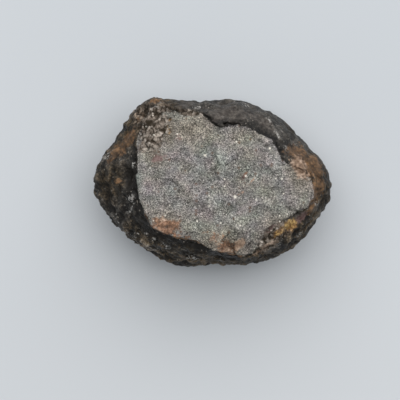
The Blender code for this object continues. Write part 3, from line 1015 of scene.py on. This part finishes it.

# %% Stains as numbers on the points
# Strength of the painted shade, also glossier, along the step at the lower left
STEP_PAINTED_SHADE_AND_GLOSS = 0.9
# Strength of the pale chips along the ridges, partly painted highlights
RIDGE_CHIPS_AND_GLINTS = 1.6
RIM_RUST, RIM_RUST_SIDE = 0.8, (215, 285)
RIM_RUST_OUT = 0.1
RIM_RUST_WIDTH = 0.45
HIDDEN_STRENGTH = 0.8
HIDDEN_FADE = 3
# A noise's size, where the stain starts and is full, and the noise's salt
HIDDEN_RUST = (13.0, 0.12, 0.5, 101)
HIDDEN_BROWN = (19.0, -0.15, 0.35, 110)


def hidden_stain(size, start, full, salt):
    """An S-curve of a large noise, times a strength that rises from 0 to full below the rim."""
    below = 1 - smooth_step(stone_points[:, 2], RIM_LEVEL - HIDDEN_FADE, RIM_LEVEL + HIDDEN_FADE)
    return HIDDEN_STRENGTH * below * smooth_step(lump(stone_points, size, salt), start, full)


from_rim = (inside + RIM_RUST_OUT) / RIM_RUST_WIDTH
also = {
    "rust": np.maximum(
        hidden_stain(*HIDDEN_RUST),
        RIM_RUST * np.exp(-(from_rim**2)) * on_side(stone_points, RIM_RUST_SIDE),
    ),
    "brown": hidden_stain(*HIDDEN_BROWN),
    # painted shade, also glossier, along the step at the lower left
    "glass": STEP_PAINTED_SHADE_AND_GLOSS * step,
    # pale chips along the ridges, partly painted highlights
    "chipped": RIDGE_CHIPS_AND_GLINTS * along_lines(stone_points, RIDGES),
}
marks = {"inside": inside, "relief": detail, "rugged": rugged}
for name, ovals in OVALS.items():
    marks[name] = np.maximum(patches(stone_points, ovals), also.get(name, 0))
print({name: (value.min().round(2), value.max().round(2)) for name, value in marks.items()})

# %% [markdown]
# ## The mesh
#
# The arrays go into a Blender mesh in one call each, because a Python loop over a hundred thousand
# points would be slow. The marks become attributes, which a material reads by name.

# %% From arrays to a mesh
mesh = bpy.data.meshes.new("stone")
mesh.from_pydata((stone_points * MM).tolist(), [], faces.tolist())
for name, values in marks.items():
    attribute = mesh.attributes.new(name, "FLOAT", "POINT")
    attribute.data.foreach_set("value", values.astype(np.float32))
mesh.shade_smooth()
stone = placed("stone", mesh)
print("the mesh has", len(mesh.polygons), "faces; it is valid:", not mesh.validate())

# %% [markdown]
# ## The grey inside
#
# Close up the inside is salt and pepper: dark and pale mineral grains a third of a millimetre
# across in a grey matrix, with slow drifts of greenish, pinkish and warmer grey. Packed cells with a
# random tone each stand for the grains and noise for the dust between them. A colour ramp turns
# their sum into stone colours.

# %% Patterns on the stone
stone_material, stone_surface, place = new_material("chondrite")


def mark(name):
    """A number stored on the stone's points."""
    return place.node("ShaderNodeAttribute", {"attribute_name": name}, output="Fac")


def grains(size, output="Distance", where=place):
    """Packed grains of a size in mm: the distance from the grain's middle, in sizes, or its colour."""
    values = {"Vector": where, "Scale": 1 / (size * MM)}
    return place.node("ShaderNodeTexVoronoi", {"feature": "F1"}, values, output)


def grain_tone(size, where=place):
    """A random number from 0 to 1 for each packed grain."""
    colour = grains(size, "Color", where)
    return place.node("ShaderNodeSeparateColor", (), {"Color": colour}, output="Red")


def specks(size, share, radius, where=place):
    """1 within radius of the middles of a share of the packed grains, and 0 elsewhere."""
    disc = 1 - grains(size, where=where).rise(0.7 * radius, radius)
    return grain_tone(size, where).rise(0.999 - share, 1 - share) * disc


def drift(size, swing):
    """Three soft noises as a vector, each from minus to plus half the swing."""
    middle = noise(place, size, output="Color").vector("SUBTRACT", (0.5, 0.5, 0.5))
    return middle.vector("MULTIPLY", (swing, swing, swing))


# The relief also tints the colours below: darker in hollows and lighter on high spots, as painted shade and
# painted light
depth = mark("relief")
print("marks on the stone:", list(marks))

# %% Colour of the inside
DUST_SIZE, GRAIN_SIZE, CLUMP_SIZE, CLOUD_SIZE, TINT_SIZE = 0.29, 0.25, 1.5, 3.2, 5.0
INSIDE_GREYS = [
    (0.2, 44, 41, 39), (0.38, 92, 90, 87), (0.52, 121, 119, 115), (0.68, 150, 147, 142), (0.9, 214, 209, 200),
]
# Size, share of the grains, radius in sizes, strength, and colour: dark, pale and rusty
SPECKS = [
    (0.41, 0.16, 0.42, 1, (66, 62, 58)),
    (0.43, 0.07, 0.38, 1, (210, 206, 198)),
    (1.5, 0.14, 0.34, 0.6, (98, 76, 62)),
]
TINT = 0.3
NEUTRAL = (1.0, 0.995, 0.985)
TAN = (0.91, 0.82, 0.71)

dust = noise(place, DUST_SIZE, 3.0, 0.7)
inside_tone = dust * 1.2 + grain_tone(GRAIN_SIZE) * 0.4 + grain_tone(CLUMP_SIZE) * 0.08
# depth darkens the inside's hollows and lightens its high spots: painted shade and painted light
inside_tone = inside_tone + noise(place, CLOUD_SIZE) * 0.14 + depth * 0.16 - 0.365
grey = inside_tone.ramp(INSIDE_GREYS)
for size, share, radius, strength, colour in SPECKS:
    grey = (specks(size, share, radius) * strength).mix(grey, srgb(*colour))
tinted = grey.vector("MULTIPLY", drift(TINT_SIZE, TINT).vector("ADD", NEUTRAL))
grey = mark("warm").mix(tinted, grey.vector("MULTIPLY", TAN))
print("the inside is a ramp of", len(INSIDE_GREYS), "greys, with specks of", len(SPECKS), "kinds")

# %% [markdown]
# In the rugged places the stone has crumbled into nodules about a millimetre across, pinkish grey,
# with dark brown dirt in the gaps. Packed cells give both: the distance from a cell's middle tells
# nodule from gap, and the cell's random number gives each nodule its own tone.

# %% Nodules and the dirt between them
NODULE_SIZE = 1.05
NODULE_BEND, NODULE_BEND_SIZE = 2.2, 1.6
NODULE_GREYS = [(0.16, 56, 46, 36), (0.5, 122, 110, 99), (0.8, 207, 196, 184)]
DIRT = srgb(46, 38, 27)

bent = place.vector("ADD", drift(NODULE_BEND_SIZE, NODULE_BEND * MM))
gap = (grains(NODULE_SIZE, where=bent) + (dust - 0.5) * 0.7).rise(0.4, 0.8)
nodule_tone = grain_tone(NODULE_SIZE, bent) * 0.4 + dust * 0.7 + noise(place, 1.7) * 0.6 - 0.35
cobbled = gap.mix(nodule_tone.ramp(NODULE_GREYS), DIRT)
print("nodules are", NODULE_SIZE, "mm apart")

# %% [markdown]
# ## The crust
#
# Up close the crust is anything but plain black. Fresh melt is black glass, most of it is dull and
# charcoal grey, and weathering turns it brown. Along the break it is painted near black as shade.
# It is lighter on its high spots and darker in its wrinkles: painted light and shade that follow the
# relief. Two ramps, one charcoal and one brown, follow the same dust pattern.

# %% Colour of the crust
CRUST_DUST_SIZE, CRUST_GRAIN_SIZE, CRUST_PATCH_SIZE = 0.62, 0.34, 1.7
CHARCOALS = [
    (0.22, 18, 15, 12), (0.42, 46, 42, 37), (0.58, 71, 67, 62), (0.75, 105, 100, 94), (0.95, 160, 156, 150),
]
BROWNS = [
    (0.22, 18, 14, 8), (0.42, 44, 36, 24), (0.58, 74, 62, 46), (0.75, 108, 92, 71), (0.95, 166, 150, 128),
]

crust_dust = noise(place, CRUST_DUST_SIZE, 4.0, 0.7)
crust_tone = crust_dust * 0.9 + grain_tone(CRUST_PATCH_SIZE, bent) * 0.26
crust_tone = crust_tone + grain_tone(CRUST_GRAIN_SIZE) * 0.26
# depth darkens the crust's wrinkles and lightens its high spots: painted shade and painted light
crust_tone = crust_tone + noise(place, CLOUD_SIZE) * 0.5 + depth * 0.5 - 0.53
brown_here = (mark("brown") + (noise(place, 3.0, 3.0, 0.6) - 0.5) * 1.2).rise(0.15, 0.85)
crust_colour = brown_here.mix(crust_tone.ramp(CHARCOALS), crust_tone.ramp(BROWNS))
print("the crust's two ramps have", len(CHARCOALS), "and", len(BROWNS), "colours")

# %% Painted shade, pale specks and pale chips over the crust, the specks and chips partly painted glints
# Painted shade, also glossier: where this mark is, the crust is near black
painted_shade_and_gloss_here = mark("glass").rise(0.2, 0.75)
# Pale specks in clusters on the crust: partly mineral dust, partly painted glints
scattered = specks(0.62, 0.14, 0.42) * noise(place, 4.0).rise(0.46, 0.62)
# Pale chips, partly painted highlights on raised bits of crust
chips_and_glints_here = specks(0.8, 0.6, 0.6, bent) * (mark("chipped") + (dust - 0.5) * 1.6).rise(0.2, 0.6)
# Layers: near-black painted shade, then pale specks and pale chips that are partly painted glints
CRUST_LAYERS = [
    (painted_shade_and_gloss_here, 0.65, (26, 22, 18)), (scattered, 0.8, (146, 138, 127)), (chips_and_glints_here, 0.85, (176, 172, 166)),
]
for layer, strength, colour in CRUST_LAYERS:
    crust_colour = (layer * strength).mix(crust_colour, srgb(*colour))
print("the material has", len(stone_material.node_tree.nodes), "nodes so far")

# %% [markdown]
# The three finishes meet in ragged lines. How far a point is inside the break's edge, plus a noise,
# decides between crust and inside, and how rugged it is, plus another, decides where nodules show.

# %% Inside, crust and nodules together
SPECKLE_SIZE = 0.8
EDGE_NOISE_SIZE = 1.3
DIRTY = (0.62, 0.54, 0.45)

speckle = noise(place, SPECKLE_SIZE, 3.0, 0.65)
break_up = speckle * 0.7 + noise(place, 2.6, 3.0, 0.6) * 0.9 - 0.8
edge_noise = (noise(place, EDGE_NOISE_SIZE, 3.0, 0.65) - 0.5) * 1.7
is_inside = (mark("inside") + edge_noise).rise(-0.1, 0.1)
colour = is_inside.mix(crust_colour, grey)
cobbled_here = (mark("rugged") + break_up).rise(0.25, 0.6)
browned = (brown_here * (1 - is_inside) * 0.9).mix(cobbled, cobbled.vector("MULTIPLY", DIRTY))
colour = cobbled_here.mix(colour, browned)
print("the edge of the break wavers by a noise of", EDGE_NOISE_SIZE, "mm")

# %% [markdown]
# ## Rust
#
# Rust stains soak in, so they darken and colour the stone but leave its grains showing. The edge of
# each patch is broken up by noise, and the colour inside it runs from a dark tint to a light one.

# %% Stains over all three
STAINS = {
    "dusty": [(0.38, 42, 37, 34), (0.5, 68, 62, 57), (0.62, 100, 93, 87)],
    "rust": [(0.36, 54, 40, 28), (0.5, 94, 71, 50), (0.66, 147, 111, 77)],
    "salmon": [(0.38, 54, 34, 22), (0.49, 110, 77, 55), (0.62, 180, 138, 110)],
    "pink": [(0.36, 76, 54, 51), (0.5, 121, 97, 93), (0.64, 160, 139, 133)],
    "buff": [(0.36, 112, 88, 70), (0.5, 165, 139, 118), (0.66, 212, 190, 171)],
    "ochre": [(0.38, 80, 57, 34), (0.5, 160, 121, 70), (0.62, 228, 190, 122)],
}
STAIN_STRENGTH = 0.85

# depth darkens stains in hollows and lightens them on high spots: painted shade and painted light
stain_tone = speckle * 0.55 + noise(place, 2.0, 3.0, 0.6) * 0.45 + depth * 0.15
for name, stops in STAINS.items():
    soaked = (mark(name) * 1.4 + break_up * 1.7).rise(0.45, 1.0)
    colour = (soaked * STAIN_STRENGTH).mix(colour, stain_tone.ramp(stops))
print("stains laid over the stone:", list(STAINS))

# %% [markdown]
# ## Flecks of metal
#
# Iron and nickel flecks are scattered through the inside, the six largest where the photograph shows
# them. Each of those is a small disc: the distance from its middle, seen from above, is less than its
# radius. Apart from the glossier painted shade along the break, the flecks are the only thing on the
# stone that isn't dull.

# %% Metal
FLECKS = [
    (6.2, -4.2, 0.5), (-1, -6.8, 0.42), (19.3, 0.9, 0.4), (-2.2, 7.4, 0.45), (15.9, 9.4, 0.4),
    (9.2, 1.7, 0.38),
]
BARE_METAL = srgb(214, 208, 196)

seen_from_above = place.vector("MULTIPLY", (1.0, 1.0, 0.0))
metal = specks(1.1, 0.045, 0.28)
for x, y, radius in FLECKS:
    away = seen_from_above.vector("DISTANCE", (x * MM, y * MM, 0.0), "Value")
    metal = metal.or_more(1 - (away + (dust - 0.5) * 0.6 * MM).rise(0.6 * radius * MM, radius * MM))
metal = metal * is_inside
colour = metal.mix(colour, BARE_METAL)
print("large flecks of metal:", len(FLECKS))

# %% Gloss, the finest relief and the finished material
INSIDE_ROUGHNESS = 0.9
LEAST_CRUST_ROUGHNESS = 0.2
METALLIC = 0.6
STONE_SHINE = 0.26

crust_roughness = crust_dust * 0.7 + LEAST_CRUST_ROUGHNESS - painted_shade_and_gloss_here * 0.15
roughness = is_inside * (INSIDE_ROUGHNESS - crust_roughness) + crust_roughness - metal * 0.4
fine_height = dust * 0.14 + grains(0.38) * -0.05
crust_height = crust_dust * 0.26 + noise(place, 0.35, 2.0) * 0.05
height = is_inside * (fine_height - crust_height) + crust_height - gap * cobbled_here * 0.3
bump = place.node("ShaderNodeBump", (), {"Height": height, "Distance": MM}, output="Normal")

colour.into(stone_surface, "Base Color")
roughness.into(stone_surface, "Roughness")
(metal * METALLIC).into(stone_surface, "Metallic")
bump.into(stone_surface, "Normal")
stone_surface.inputs["Specular IOR Level"].default_value = STONE_SHINE
mesh.materials.append(stone_material)
print("the stone's material has", len(stone_material.node_tree.nodes), "nodes")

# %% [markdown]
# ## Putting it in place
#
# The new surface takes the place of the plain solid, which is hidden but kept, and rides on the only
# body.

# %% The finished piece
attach(stone, "root")
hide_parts("meteorite_stone")
